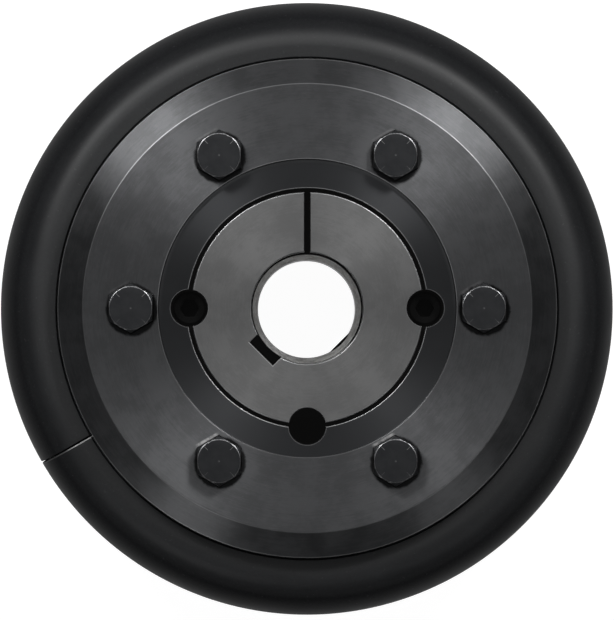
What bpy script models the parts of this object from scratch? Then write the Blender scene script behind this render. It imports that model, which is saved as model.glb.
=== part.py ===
"""Tyre coupling: a flanged hub on a split taper bush and a bored one, joined by a split rubber tyre.

Metres, +Z up. Z is the axis of both shafts, the origin lies midway between the two halves, and the
front bush is split on the +Y side. The rear half has the front one's flange, clamp ring and bolts, turned
by 180 degrees about Y, but its hub is bored straight for its shaft and holds it with a set screw.
"""

import math

import bmesh
import bpy
from mathutils import Matrix, Vector

MM = 0.001

# Clearance that pieces which touch keep between them
FIT_GAP = 0.3 * MM

# Shaft bores, and the keyway of the front one
FRONT_BORE_RADIUS = 21 * MM
KEYWAY_WIDTH = 12 * MM
KEYWAY_DEPTH = 3.3 * MM
KEYWAY_ANGLE = math.radians(225)
REAR_BORE_RADIUS = 19 * MM
REAR_BORE_CHAMFER = 1.8 * MM

# Taper bush of the front half, large end outwards
BUSH_LENGTH = 45 * MM
BUSH_RADIUS = 43.7 * MM
BUSH_TAPER = math.radians(4)
BUSH_SPLIT = 2.2 * MM
BUSH_CHAMFER = 0.6 * MM
BUSH_HALF_SPACING = 4 * MM
SPLIT_ANGLE = math.radians(90)

# Clearance of headless screws in their holes
SCREW_CLEARANCE = 0.6 * MM

# Grub screws, in holes drilled half in the bush and half in the hub
GRUB_RADIUS = 6.35 * MM
GRUB_LENGTH = 22.7 * MM
GRUB_RECESS = 7 * MM
GRUB_CHAMFER = 0.8 * MM
SOCKET_WIDTH = 6.35 * MM
SOCKET_DEPTH = 6 * MM
GRUB_ANGLES = (math.radians(0), math.radians(180))
JACKING_ANGLE = math.radians(270)

# Set screw of the rear hub, in a radial hole, with its flat tip standing out of the bore's wall
SET_SCREW_RADIUS = 6 * MM
SET_SCREW_STANDOUT = 0.9 * MM
SET_SCREW_RECESS = 2.9 * MM
SET_SCREW_INSET = 0.9 * MM
SET_SCREW_CHAMFER = 0.4 * MM
SET_SOCKET_WIDTH = 6 * MM
SET_SOCKET_DEPTH = 6 * MM
SET_SCREW_ANGLE = math.radians(225)

# Flanged hubs
HUB_WALL = 4.65 * MM
HUB_SETBACK = 0.5 * MM
HUB_CHAMFER = 1 * MM
MOUTH_GAP = 1.4 * MM
MOUTH_DEPTH = 3 * MM
FACE_STEP = 2 * MM
FLANGE_THICKNESS = 15 * MM
RIM_BEVEL_WIDTH = 9.6 * MM
RIM_BEVEL_DROP = 5 * MM
LIP_WIDTH = 3 * MM
LIP_DEPTH = 1.7 * MM

# Clamp bolts
BOLT_COUNT = 6
BOLT_RADIUS = 5 * MM
BOLT_HOLE_CLEARANCE = 0.5 * MM
BOLT_HEAD_WIDTH = 17 * MM
BOLT_HEAD_HEIGHT = 6.4 * MM
BOLT_HEAD_CHAMFER = math.radians(30)
BOLT_HEAD_ROUND = 0.4 * MM
BOLT_OVERHANG = 1 * MM
BOLT_POINT = 0.8 * MM

# Tapped clamp rings, inside the tyre
RING_CLEARANCE = 2.5 * MM
RING_WALL = 2.4 * MM
RING_THICKNESS = 9.4 * MM
RING_SPIGOT_HEIGHT = 4.6 * MM
RING_INSET = 5 * MM
RING_CHAMFER = 5 * MM

# Rubber tyre
BEAD_WIDTH = 16.5 * MM
BEAD_THICKNESS = 10 * MM
BEAD_OVERLAP = 1 * MM
GROOVE_WIDTH = 1.4 * MM
CREST_OFFSET = 7 * MM
CREST_RISE = 2 * MM
CREST_ROUND = 1.8 * MM
CROWN_DEPTH = 16.5 * MM
CROWN_POWER = 2.3
TYRE_WALL = 9.5 * MM
TYRE_SPLIT = 0.6 * MM
TYRE_SPLIT_ANGLE = math.radians(210)
TYRE_SPLIT_LEAN = math.radians(1.2)

# Facets
LARGE_SIDES = 60
RING_SIDES = 48
BUSH_SIDES = 40
HEAD_CHAMFER_SIDES = 24
HOLE_SIDES = 12
SCREW_HOLE_SIDES = 16
CROWN_STEPS = 6
CREST_STEPS = 2
INNER_STEPS = 4
CUT_MARGIN = 5 * MM
MERGE_DISTANCE = 0.01 * MM
SHARP_ANGLE = math.radians(35)

# Heights in the front half, from the middle of the coupling
BUSH_SMALL_END = BUSH_HALF_SPACING
BUSH_LARGE_END = BUSH_SMALL_END + BUSH_LENGTH
HUB_END = BUSH_SMALL_END + HUB_SETBACK
HUB_FACE = BUSH_LARGE_END
FLANGE_FACE = HUB_FACE + FACE_STEP
BEAD_SEAT = FLANGE_FACE - FLANGE_THICKNESS
LIP_END = BEAD_SEAT - LIP_DEPTH
BEAD_TOP = BEAD_SEAT - FIT_GAP
BEAD_BOTTOM = BEAD_TOP - BEAD_THICKNESS
RING_TOP = BEAD_BOTTOM - FIT_GAP
RING_BOTTOM = RING_TOP - RING_THICKNESS
GROOVE_BOTTOM = LIP_END - FIT_GAP
CREST_HEIGHT = BEAD_SEAT + CREST_RISE
SCREW_HOLE_DEPTH = GRUB_RECESS + GRUB_LENGTH + FIT_GAP
SCREW_HOLE_BOTTOM = BUSH_LARGE_END - SCREW_HOLE_DEPTH
BOLT_LENGTH = FLANGE_FACE + FIT_GAP - RING_BOTTOM + BOLT_OVERHANG

# Radii
MOUTH_RADIUS = BUSH_RADIUS + MOUTH_GAP
SCREW_CIRCLE = BUSH_RADIUS + MOUTH_GAP / 2
SCREW_HOLE_RADIUS = GRUB_RADIUS + SCREW_CLEARANCE
HUB_RADIUS = SCREW_CIRCLE + SCREW_HOLE_RADIUS + HUB_WALL
RING_BORE = HUB_RADIUS + RING_CLEARANCE
TAPPED_HOLE_RADIUS = BOLT_RADIUS + FIT_GAP
BOLT_HOLE_RADIUS = BOLT_RADIUS + BOLT_HOLE_CLEARANCE
BOLT_CIRCLE = RING_BORE + RING_WALL + TAPPED_HOLE_RADIUS
SPIGOT_RADIUS = BOLT_CIRCLE + TAPPED_HOLE_RADIUS + RING_WALL
BEAD_TOE = SPIGOT_RADIUS + FIT_GAP
BEAD_END = BEAD_TOE + BEAD_WIDTH
LIP_RADIUS = BEAD_END + FIT_GAP
FLANGE_RADIUS = LIP_RADIUS + LIP_WIDTH
RING_RADIUS = FLANGE_RADIUS - RING_INSET
GROOVE_RADIUS = FLANGE_RADIUS + GROOVE_WIDTH
CREST_RADIUS = FLANGE_RADIUS + CREST_OFFSET
TYRE_RADIUS = CREST_RADIUS + CROWN_DEPTH

# Places along and across the set screw
SET_HOLE_RADIUS = SET_SCREW_RADIUS + SCREW_CLEARANCE
SET_SCREW_HEIGHT = HUB_END + REAR_BORE_CHAMFER + SET_SCREW_INSET + SET_HOLE_RADIUS
SET_SCREW_TIP = REAR_BORE_RADIUS - SET_SCREW_STANDOUT
SET_SCREW_LENGTH = HUB_RADIUS - SET_SCREW_RECESS - SET_SCREW_TIP


def new_material(name, color, roughness, metallic):
    material = bpy.data.materials.new(name)
    material.use_nodes = True
    shader = material.node_tree.nodes["Principled BSDF"]
    shader.inputs["Base Color"].default_value = (*color, 1)
    shader.inputs["Roughness"].default_value = roughness
    shader.inputs["Metallic"].default_value = metallic
    return material


def smooth_by_angle():
    """A node group that shades a shape smooth, apart from its edges sharper than SHARP_ANGLE."""
    group = bpy.data.node_groups.new("smooth_by_angle", "GeometryNodeTree")
    group.interface.new_socket("Geometry", in_out="INPUT", socket_type="NodeSocketGeometry")
    group.interface.new_socket("Geometry", in_out="OUTPUT", socket_type="NodeSocketGeometry")
    nodes = group.nodes
    start = nodes.new("NodeGroupInput")
    faces = nodes.new("GeometryNodeSetShadeSmooth")
    edges = nodes.new("GeometryNodeSetShadeSmooth")
    edges.domain = "EDGE"
    edges.inputs["Shade Smooth"].default_value = False
    angle = nodes.new("GeometryNodeInputMeshEdgeAngle")
    sharp = nodes.new("FunctionNodeCompare")
    sharp.inputs[1].default_value = SHARP_ANGLE
    end = nodes.new("NodeGroupOutput")
    group.links.new(start.outputs[0], faces.inputs["Geometry"])
    group.links.new(faces.outputs["Geometry"], edges.inputs["Geometry"])
    group.links.new(angle.outputs["Unsigned Angle"], sharp.inputs[0])
    group.links.new(sharp.outputs["Result"], edges.inputs["Selection"])
    group.links.new(edges.outputs["Geometry"], end.inputs[0])
    return group


def add_smoothing(obj):
    modifier = obj.modifiers.new("smooth_by_angle", "NODES")
    modifier.node_group = SMOOTHING


def add_cut(obj, cutter, operation="DIFFERENCE"):
    modifier = obj.modifiers.new(cutter.name, "BOOLEAN")
    modifier.operation = operation
    modifier.object = cutter


def turned(name, outline, sides):
    """A shape turned about Z from (radius, height) points that run down its outer side.

    An outline that starts on the axis also ends there, and any other closes on itself.
    """
    count = len(outline)
    edges = [(index, index + 1) for index in range(count - 1)]
    if outline[0][0] > 0:
        edges.append((count - 1, 0))
    mesh = bpy.data.meshes.new(name)
    mesh.from_pydata([(radius, 0, height) for radius, height in outline], edges, [])
    obj = bpy.data.objects.new(name, mesh)
    PIECES.objects.link(obj)
    screw = obj.modifiers.new("turn", "SCREW")
    screw.axis = "Z"
    screw.steps = sides
    screw.render_steps = sides
    screw.use_merge_vertices = True
    screw.merge_threshold = MERGE_DISTANCE
    return obj


def cutter_from(name, shape, parent=None):
    """A cutter object from a bmesh, kept out of the render."""
    mesh = bpy.data.meshes.new(name)
    shape.to_mesh(mesh)
    shape.free()
    obj = bpy.data.objects.new(name, mesh)
    CUTTERS.objects.link(obj)
    obj.parent = parent
    obj.hide_render = True
    obj.display_type = "WIRE"
    return obj


def add_prism(shape, sides, low_radius, high_radius, low, high, place=Matrix()):
    """A prism or frustum from height low to height high, moved by the matrix place."""
    bmesh.ops.create_cone(
        shape,
        cap_ends=True,
        segments=sides,
        radius1=low_radius,
        radius2=high_radius,
        depth=high - low,
        matrix=place @ Matrix.Translation((0, 0, (low + high) / 2)),
    )


def add_box(shape, low, high, place):
    """A box between two corners, moved by the matrix place."""
    low, high = Vector(low), Vector(high)
    size = Matrix.Diagonal((*(high - low), 1))
    bmesh.ops.create_cube(shape, matrix=place @ Matrix.Translation((low + high) / 2) @ size)


def turn_by(angle):
    return Matrix.Rotation(angle, 4, "Z")


def on_circle(radius, angle, height=0.0):
    """The move from the origin to a place on a circle about Z."""
    return Matrix.Translation((radius * math.cos(angle), radius * math.sin(angle), height))


def bolt_angles():
    return [2 * math.pi * index / BOLT_COUNT for index in range(BOLT_COUNT)]


def hole_cutter(name, parent, places, radius, sides, low, high):
    """Round holes along Z, moved by matrices, each turned so that no corner lies on a facet's edge."""
    shape = bmesh.new()
    for place in places:
        add_prism(shape, sides, radius, radius, low, high, place @ turn_by(math.pi / sides))
    return cutter_from(name, shape, parent)


def corner_radius(width, sides=6):
    """The corner radius of a regular prism that is this wide across its flats."""
    return width / 2 / math.cos(math.pi / sides)


def bush_radius_at(height):
    return BUSH_RADIUS - (BUSH_LARGE_END - height) * math.tan(BUSH_TAPER)


def curve_points(centre, size, start, end, steps, power=2.0):
    """Points on a superellipse about centre, with angles in degrees from the radial direction."""
    points = []
    for step in range(steps + 1):
        angle = math.radians(start + (end - start) * step / steps)
        across = math.copysign(abs(math.cos(angle)) ** (2 / power), math.cos(angle))
        up = math.copysign(abs(math.sin(angle)) ** (2 / power), math.sin(angle))
        points.append((centre[0] + size[0] * across, centre[1] + size[1] * up))
    return points


def mirrored(points):
    return [(radius, -height) for radius, height in reversed(points)]


def tyre_outline():
    """The tyre's section: a bead under each flange, a crest beside its rim and a round crown."""
    bead = [
        (BEAD_TOE, BEAD_TOP), (BEAD_END, BEAD_TOP),
        (BEAD_END, GROOVE_BOTTOM), (GROOVE_RADIUS, GROOVE_BOTTOM),
    ]
    shoulder = curve_points(
        (CREST_RADIUS, CREST_HEIGHT - CREST_ROUND), (CREST_OFFSET - GROOVE_WIDTH, CREST_ROUND),
        180, 90, CREST_STEPS,
    )
    crown = curve_points(
        (CREST_RADIUS, 0), (CROWN_DEPTH, CREST_HEIGHT), 90, 0, CROWN_STEPS, CROWN_POWER,
    )
    outer = bead + shoulder + crown[1:]
    cavity = curve_points(
        (CREST_RADIUS, 0), (CROWN_DEPTH - TYRE_WALL, CREST_HEIGHT - TYRE_WALL), 0, 90, INNER_STEPS,
    )
    inner = cavity + [(RING_RADIUS + BEAD_OVERLAP, BEAD_BOTTOM), (BEAD_TOE, BEAD_BOTTOM)]
    return outer + mirrored(outer)[1:] + mirrored(inner) + inner[1:]


def build_tyre():
    """The tyre, cut through once by a blade that leans a little, so that no light shows through the cut."""
    tyre = turned("tyre", tyre_outline(), LARGE_SIDES)
    blade = bmesh.new()
    add_box(
        blade,
        (BEAD_TOE - CUT_MARGIN, -TYRE_SPLIT / 2, -CREST_HEIGHT - CUT_MARGIN),
        (TYRE_RADIUS + CUT_MARGIN, TYRE_SPLIT / 2, CREST_HEIGHT + CUT_MARGIN),
        turn_by(TYRE_SPLIT_ANGLE) @ Matrix.Rotation(-TYRE_SPLIT_LEAN, 4, "X"),
    )
    add_cut(tyre, cutter_from("tyre_split", blade))
    add_smoothing(tyre)
    tyre.data.materials.append(RUBBER)


def taper_bore():
    """The front hub's bore, from its inner end: it fits the bush and opens into a wider mouth."""
    mouth = HUB_FACE - MOUTH_DEPTH
    return [
        (bush_radius_at(HUB_END) + FIT_GAP, HUB_END),
        (bush_radius_at(mouth) + FIT_GAP, mouth),
        (MOUTH_RADIUS, mouth),
        (MOUTH_RADIUS, HUB_FACE),
    ]


def plain_bore():
    """The rear hub's bore, from its inner end, which has a wide chamfer."""
    return [
        (REAR_BORE_RADIUS + REAR_BORE_CHAMFER, HUB_END),
        (REAR_BORE_RADIUS, HUB_END + REAR_BORE_CHAMFER),
        (REAR_BORE_RADIUS, HUB_FACE - HUB_CHAMFER),
        (REAR_BORE_RADIUS + HUB_CHAMFER, HUB_FACE),
    ]


def flange_outline(bore):
    return [
        (HUB_RADIUS, FLANGE_FACE),
        (FLANGE_RADIUS - RIM_BEVEL_WIDTH, FLANGE_FACE),
        (FLANGE_RADIUS, FLANGE_FACE - RIM_BEVEL_DROP),
        (FLANGE_RADIUS, LIP_END),
        (LIP_RADIUS, LIP_END),
        (LIP_RADIUS, BEAD_SEAT),
        (HUB_RADIUS, BEAD_SEAT),
        (HUB_RADIUS, HUB_END + HUB_CHAMFER),
        (HUB_RADIUS - HUB_CHAMFER, HUB_END),
        *bore,
        (HUB_RADIUS, HUB_FACE),
    ]


def build_flange(side, half, bore, screw_holes):
    flange = turned(f"{side}_flange", flange_outline(bore), LARGE_SIDES)
    flange.parent = half
    places = [on_circle(BOLT_CIRCLE, angle) for angle in bolt_angles()]
    bolt_holes = hole_cutter(
        f"{side}_bolt_holes", half, places, BOLT_HOLE_RADIUS, HOLE_SIDES,
        BEAD_SEAT - CUT_MARGIN, FLANGE_FACE + CUT_MARGIN,
    )
    add_cut(flange, bolt_holes)
    add_cut(flange, screw_holes)
    add_smoothing(flange)
    flange.data.materials.append(CAST_IRON)


def ring_outline():
    return [
        (RING_BORE, RING_TOP + RING_SPIGOT_HEIGHT),
        (SPIGOT_RADIUS, RING_TOP + RING_SPIGOT_HEIGHT),
        (SPIGOT_RADIUS, RING_TOP),
        (RING_RADIUS, RING_TOP),
        (RING_RADIUS, RING_BOTTOM + RING_CHAMFER),
        (RING_RADIUS - RING_CHAMFER, RING_BOTTOM),
        (RING_BORE, RING_BOTTOM),
    ]


def build_clamp_ring(side, half):
    ring = turned(f"{side}_clamp_ring", ring_outline(), RING_SIDES)
    ring.parent = half
    places = [on_circle(BOLT_CIRCLE, angle) for angle in bolt_angles()]
    tapped_holes = hole_cutter(
        f"{side}_tapped_holes", half, places, TAPPED_HOLE_RADIUS, HOLE_SIDES,
        RING_BOTTOM - CUT_MARGIN, RING_TOP + RING_SPIGOT_HEIGHT + CUT_MARGIN,
    )
    add_cut(ring, tapped_holes)
    add_smoothing(ring)
    ring.data.materials.append(RING_STEEL)


def bush_outline():
    small_end_radius = bush_radius_at(BUSH_SMALL_END)
    return [
        (FRONT_BORE_RADIUS + BUSH_CHAMFER, BUSH_LARGE_END),
        (BUSH_RADIUS - BUSH_CHAMFER, BUSH_LARGE_END),
        (bush_radius_at(BUSH_LARGE_END - BUSH_CHAMFER), BUSH_LARGE_END - BUSH_CHAMFER),
        (bush_radius_at(BUSH_SMALL_END + BUSH_CHAMFER), BUSH_SMALL_END + BUSH_CHAMFER),
        (small_end_radius - BUSH_CHAMFER, BUSH_SMALL_END),
        (FRONT_BORE_RADIUS + BUSH_CHAMFER, BUSH_SMALL_END),
        (FRONT_BORE_RADIUS, BUSH_SMALL_END + BUSH_CHAMFER),
        (FRONT_BORE_RADIUS, BUSH_LARGE_END - BUSH_CHAMFER),
    ]


def build_bush(half, screw_holes):
    bush = turned("front_bush", bush_outline(), BUSH_SIDES)
    bush.parent = half
    low = BUSH_SMALL_END - CUT_MARGIN
    high = BUSH_LARGE_END + CUT_MARGIN
    keyway_floor = FRONT_BORE_RADIUS + KEYWAY_DEPTH
    broach = bmesh.new()
    add_box(
        broach, (0, -KEYWAY_WIDTH / 2, low), (keyway_floor, KEYWAY_WIDTH / 2, high), turn_by(KEYWAY_ANGLE),
    )
    saw = bmesh.new()
    add_box(
        saw, (0, -BUSH_SPLIT / 2, low), (BUSH_RADIUS + CUT_MARGIN, BUSH_SPLIT / 2, high),
        turn_by(SPLIT_ANGLE),
    )
    add_cut(bush, screw_holes)
    add_cut(bush, cutter_from("front_keyway", broach, half))
    add_cut(bush, cutter_from("front_bush_split", saw, half))
    add_smoothing(bush)
    bush.data.materials.append(BUSH_STEEL)


def take_mesh(obj, *helpers):
    """The finished mesh of an object, which is removed with its helpers so that copies can share the mesh."""
    add_smoothing(obj)
    bpy.context.view_layer.update()
    finished = obj.evaluated_get(bpy.context.evaluated_depsgraph_get())
    mesh = bpy.data.meshes.new_from_object(finished)
    mesh.name = obj.name
    for used in (obj, *helpers):
        bpy.data.objects.remove(used)
    return mesh


def bolt_mesh():
    """A hexagon-head bolt, standing on the underside of its head, with 30 degree chamfered corners."""
    tip_radius = BOLT_RADIUS - BOLT_POINT
    shank = [
        (0, BOLT_HEAD_HEIGHT / 2), (BOLT_RADIUS, BOLT_HEAD_HEIGHT / 2),
        (BOLT_RADIUS, BOLT_POINT - BOLT_LENGTH), (tip_radius, -BOLT_LENGTH), (0, -BOLT_LENGTH),
    ]
    bolt = turned("clamp_bolt", shank, HOLE_SIDES)
    hexagon = bmesh.new()
    across_corners = corner_radius(BOLT_HEAD_WIDTH)
    add_prism(hexagon, 6, across_corners, across_corners, 0, BOLT_HEAD_HEIGHT)
    head = cutter_from("bolt_head", hexagon)
    cone = bmesh.new()
    top_radius = BOLT_HEAD_WIDTH / 2 - BOLT_HEAD_ROUND
    spread = BOLT_HEAD_HEIGHT / math.tan(BOLT_HEAD_CHAMFER)
    add_prism(
        cone, HEAD_CHAMFER_SIDES, top_radius + 2 * spread, top_radius, -BOLT_HEAD_HEIGHT, BOLT_HEAD_HEIGHT,
    )
    chamfer = cutter_from("bolt_head_chamfer", cone)
    add_cut(head, chamfer, "INTERSECT")
    add_cut(bolt, head, "UNION")
    return take_mesh(bolt, head, chamfer)


def socket_screw_mesh(name, radius, length, chamfer, socket_width, socket_depth):
    """A headless screw with a hexagon socket, standing on its flat tip."""
    outline = [
        (0, length), (radius - chamfer, length), (radius, length - chamfer),
        (radius, chamfer), (radius - chamfer, 0), (0, 0),
    ]
    screw = turned(name, outline, HOLE_SIDES)
    hexagon = bmesh.new()
    socket_radius = corner_radius(socket_width)
    add_prism(hexagon, 6, socket_radius, socket_radius, length - socket_depth, length + CUT_MARGIN)
    socket = cutter_from(f"{name}_socket", hexagon)
    add_cut(screw, socket)
    return take_mesh(screw, socket)


def place_copy(name, mesh, half, place):
    copy = bpy.data.objects.new(name, mesh)
    PIECES.objects.link(copy)
    copy.parent = half
    copy.matrix_basis = place


def new_half(side, rotation):
    """The empty that carries one half of the coupling, which is modelled as the front one."""
    half = bpy.data.objects.new(f"{side}_half", None)
    PIECES.objects.link(half)
    half.rotation_euler = rotation
    return half


def build_clamp(side, half, bolt):
    """The tapped ring inside the tyre and the bolts that pull it towards the flange."""
    build_clamp_ring(side, half)
    for number, angle in enumerate(bolt_angles(), 1):
        seat = on_circle(BOLT_CIRCLE, angle, FLANGE_FACE + FIT_GAP)
        place_copy(f"{side}_bolt_{number}", bolt, half, seat)


def build_front_half(bolt):
    """The half with the taper bush, which two grub screws drive into its hub."""
    half = new_half("front", (0, 0, 0))
    places = [on_circle(SCREW_CIRCLE, angle) for angle in (*GRUB_ANGLES, JACKING_ANGLE)]
    screw_holes = hole_cutter(
        "front_screw_holes", half, places, SCREW_HOLE_RADIUS, SCREW_HOLE_SIDES,
        SCREW_HOLE_BOTTOM, FLANGE_FACE + CUT_MARGIN,
    )
    build_flange("front", half, taper_bore(), screw_holes)
    build_bush(half, screw_holes)
    build_clamp("front", half, bolt)
    grub = socket_screw_mesh(
        "grub_screw", GRUB_RADIUS, GRUB_LENGTH, GRUB_CHAMFER, SOCKET_WIDTH, SOCKET_DEPTH,
    )
    grub.materials.append(BLACK_STEEL)
    for number, angle in enumerate(GRUB_ANGLES, 1):
        seat = on_circle(SCREW_CIRCLE, angle, SCREW_HOLE_BOTTOM + FIT_GAP)
        place_copy(f"front_grub_screw_{number}", grub, half, seat)


def build_rear_half(bolt):
    """The half that is bored to its shaft and holds it with a set screw through the hub's wall."""
    half = new_half("rear", (0, math.pi, 0))
    level = Matrix.Translation((0, 0, SET_SCREW_HEIGHT))
    outwards = level @ turn_by(SET_SCREW_ANGLE) @ Matrix.Rotation(math.pi / 2, 4, "Y")
    screw_hole = hole_cutter(
        "set_screw_hole", half, [outwards], SET_HOLE_RADIUS, SCREW_HOLE_SIDES,
        REAR_BORE_RADIUS / 2, HUB_RADIUS + CUT_MARGIN,
    )
    build_flange("rear", half, plain_bore(), screw_hole)
    build_clamp("rear", half, bolt)
    set_screw = socket_screw_mesh(
        "set_screw", SET_SCREW_RADIUS, SET_SCREW_LENGTH, SET_SCREW_CHAMFER, SET_SOCKET_WIDTH,
        SET_SOCKET_DEPTH,
    )
    set_screw.materials.append(BLACK_STEEL)
    place_copy("rear_set_screw", set_screw, half, outwards @ Matrix.Translation((0, 0, SET_SCREW_TIP)))


for old in list(bpy.data.objects):
    bpy.data.objects.remove(old)
PIECES = bpy.data.collections.new("tyre_coupling")
CUTTERS = bpy.data.collections.new("cutters")
bpy.context.scene.collection.children.link(PIECES)
bpy.context.scene.collection.children.link(CUTTERS)
SMOOTHING = smooth_by_angle()
RUBBER = new_material("rubber", (0.030, 0.031, 0.033), 0.62, 0.0)
CAST_IRON = new_material("flange_iron", (0.17, 0.175, 0.185), 0.38, 1.0)
RING_STEEL = new_material("ring_steel", (0.10, 0.10, 0.105), 0.5, 1.0)
BUSH_STEEL = new_material("bush_steel", (0.26, 0.26, 0.265), 0.36, 1.0)
BLACK_STEEL = new_material("black_steel", (0.045, 0.046, 0.05), 0.42, 1.0)

clamp_bolt = bolt_mesh()
clamp_bolt.materials.append(BLACK_STEEL)
build_tyre()
build_front_half(clamp_bolt)
build_rear_half(clamp_bolt)
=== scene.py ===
"""Looks of the tyre coupling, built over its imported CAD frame.

Metres, +Z out of the front half. The rear half is drawn like the front one and turned by 180 degrees
about Y, but its hub is bored straight and has a set screw.
"""

import collections
import math

import bmesh
import bpy
from mathutils import Matrix, Vector

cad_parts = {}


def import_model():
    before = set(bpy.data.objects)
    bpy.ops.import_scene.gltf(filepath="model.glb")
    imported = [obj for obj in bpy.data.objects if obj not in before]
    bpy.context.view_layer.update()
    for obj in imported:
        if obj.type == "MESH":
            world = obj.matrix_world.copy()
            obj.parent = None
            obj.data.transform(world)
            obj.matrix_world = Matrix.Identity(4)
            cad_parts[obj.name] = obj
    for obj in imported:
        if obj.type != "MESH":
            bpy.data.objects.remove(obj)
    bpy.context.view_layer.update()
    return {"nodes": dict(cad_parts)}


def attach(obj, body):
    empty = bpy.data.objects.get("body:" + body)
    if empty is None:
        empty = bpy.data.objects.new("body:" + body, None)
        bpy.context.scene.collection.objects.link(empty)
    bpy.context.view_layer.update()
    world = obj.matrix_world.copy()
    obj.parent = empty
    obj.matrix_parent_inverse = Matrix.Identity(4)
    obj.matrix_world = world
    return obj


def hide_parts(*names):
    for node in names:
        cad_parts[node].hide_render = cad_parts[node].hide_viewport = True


MM = 0.001

# Radii and heights as in the CAD source. The keyway, the tyre's crest and groove and the tops of the
# bolt heads follow the photo a little more closely.
FRONT_BORE = 21 * MM
KEYWAY_WIDTH = 12.3 * MM
KEYWAY_DEPTH = 3.45 * MM
KEYWAY_ANGLE = math.radians(225)
REAR_BORE = 19 * MM
REAR_CHAMFER = 1.8 * MM
REAR_MOUTH = 1 * MM
BUSH_LOW = 4 * MM
BUSH_FACE = 49 * MM
BUSH_RADIUS = 43.7 * MM
BUSH_TAPER = math.radians(4)
BUSH_SPLIT = 2.2 * MM
SPLIT_ANGLE = math.radians(90)
HUB_LOW = 4.5 * MM
HUB_FACE = 49 * MM
HUB_RADIUS = 56 * MM
MOUTH_RADIUS = 45.1 * MM
MOUTH_DEPTH = 3 * MM
FLANGE_FACE = 51 * MM
FLANGE_RADIUS = 94 * MM
BEVEL_INNER = 84.4 * MM
BEVEL_DROP = 5 * MM
BEAD_SEAT = 36 * MM
LIP_LOW = 34.3 * MM
LIP_RADIUS = 91 * MM
FIT_GAP = 0.3 * MM
SCREW_CIRCLE = 44.4 * MM
SCREW_HOLE = 6.95 * MM
SCREW_HOLE_LOW = 19 * MM
GRUB_ANGLES = (0, math.pi)
SCREW_HOLES = (*GRUB_ANGLES, math.radians(270))
GRUB_RADIUS = 6.35 * MM
GRUB_LENGTH = 22.7 * MM
GRUB_LOW = 19.3 * MM
GRUB_SOCKET = 6.35 * MM
GRUB_CUP = 1.2 * MM
SOCKET_DEPTH = 6 * MM
SET_SCREW_RADIUS = 6 * MM
SET_SCREW_HOLE = 6.6 * MM
SET_SCREW_HOLE_REACH = (9 * MM, 60 * MM)
SET_SCREW_TIP = 18.1 * MM
SET_SCREW_LENGTH = 35 * MM
SET_SCREW_LEVEL = 13.8 * MM
SET_SCREW_ANGLE = math.radians(225)
SET_SCREW_SOCKET = 6 * MM
BOLTS = 6
BOLT_CIRCLE = 66.2 * MM
BOLT_RADIUS = 5 * MM
BOLT_HOLE = 5.5 * MM
BOLT_SEAT = 51.3 * MM
BOLT_HEAD = 17 * MM
BOLT_TOP_FLATS = 16.2 * MM
BOLT_HEAD_HEIGHT = 6.4 * MM
BOLT_LENGTH = 36.3 * MM
BOLT_TOP_RADIUS = 8.16 * MM
BOLT_TOP_SLOPE = math.radians(30)
TYRE_CREST_RADIUS = 99.1 * MM
TYRE_CREST = 38 * MM
TYRE_CROWN = 18.4 * MM
TYRE_SHOULDER = 0.3 * MM
TYRE_ROUND = 0.5 * MM
TYRE_CAVITY_RADIUS = 101 * MM
TYRE_CAVITY = (7 * MM, 28.5 * MM)
TYRE_CAVITY_FOOT = 90 * MM
TYRE_POWER = 2.3
MOULD_LINE = (0.12 * MM, 0.35 * MM)
BEAD_TOE = 74.2 * MM
BEAD_END = 90.7 * MM
BEAD_TOP = 35.7 * MM
BEAD_BOTTOM = 25.7 * MM
GROOVE_RADIUS = 94.9 * MM
GROOVE_BOTTOM = 34 * MM
TYRE_SPLIT = 0.6 * MM
TYRE_SPLIT_ANGLE = math.radians(210)
TYRE_SPLIT_LEAN = math.tan(math.radians(1.2))

# Rounded and chamfered edges of the pieces
FACE_ROUND = 0.25 * MM
BEVEL_ROUND = 1.2 * MM
RIM_ROUND = 0.35 * MM
LIP_ROUND = 0.3 * MM
ROOT_ROUND = 1.5 * MM
HUB_END_ROUND = 1 * MM
MOUTH_ROUND = 0.2 * MM
FINE_ROUND = 0.15 * MM
BUSH_ROUND = 0.45 * MM
BOLT_CORNER = 0.5 * MM
SPLIT_ROUND = 0.3 * MM
SLOT_CHAMFER = 0.2 * MM
BOLT_HOLE_CHAMFER = 0.4 * MM
SCREW_END = 0.8 * MM
FLAT_TIP = 0.4 * MM

# How far a cutter reaches past the face that it opens
CUT_OVER = 3 * MM

# Sides of the round shapes
ROUND_SIDES = 240
TYRE_SIDES = 300
HOLE_SIDES = 64
HEAD_SIDES = 96
SHANK_SIDES = 48

# Where the soft steps of the materials' masks start and end
MASK_SOFT = 0.08 * MM
MASK_STEP = 0.1 * MM
# Where the painted shade, black, starts in the holes and the bore's mouth
HOLE_BLACK = (SCREW_HOLE + 0.02 * MM, SCREW_HOLE + MASK_STEP)
MOUTH_BLACK = (MOUTH_RADIUS + 0.02 * MM, MOUTH_RADIUS + MASK_STEP)
SEAT_START = (40 * MM, 41 * MM)

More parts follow.
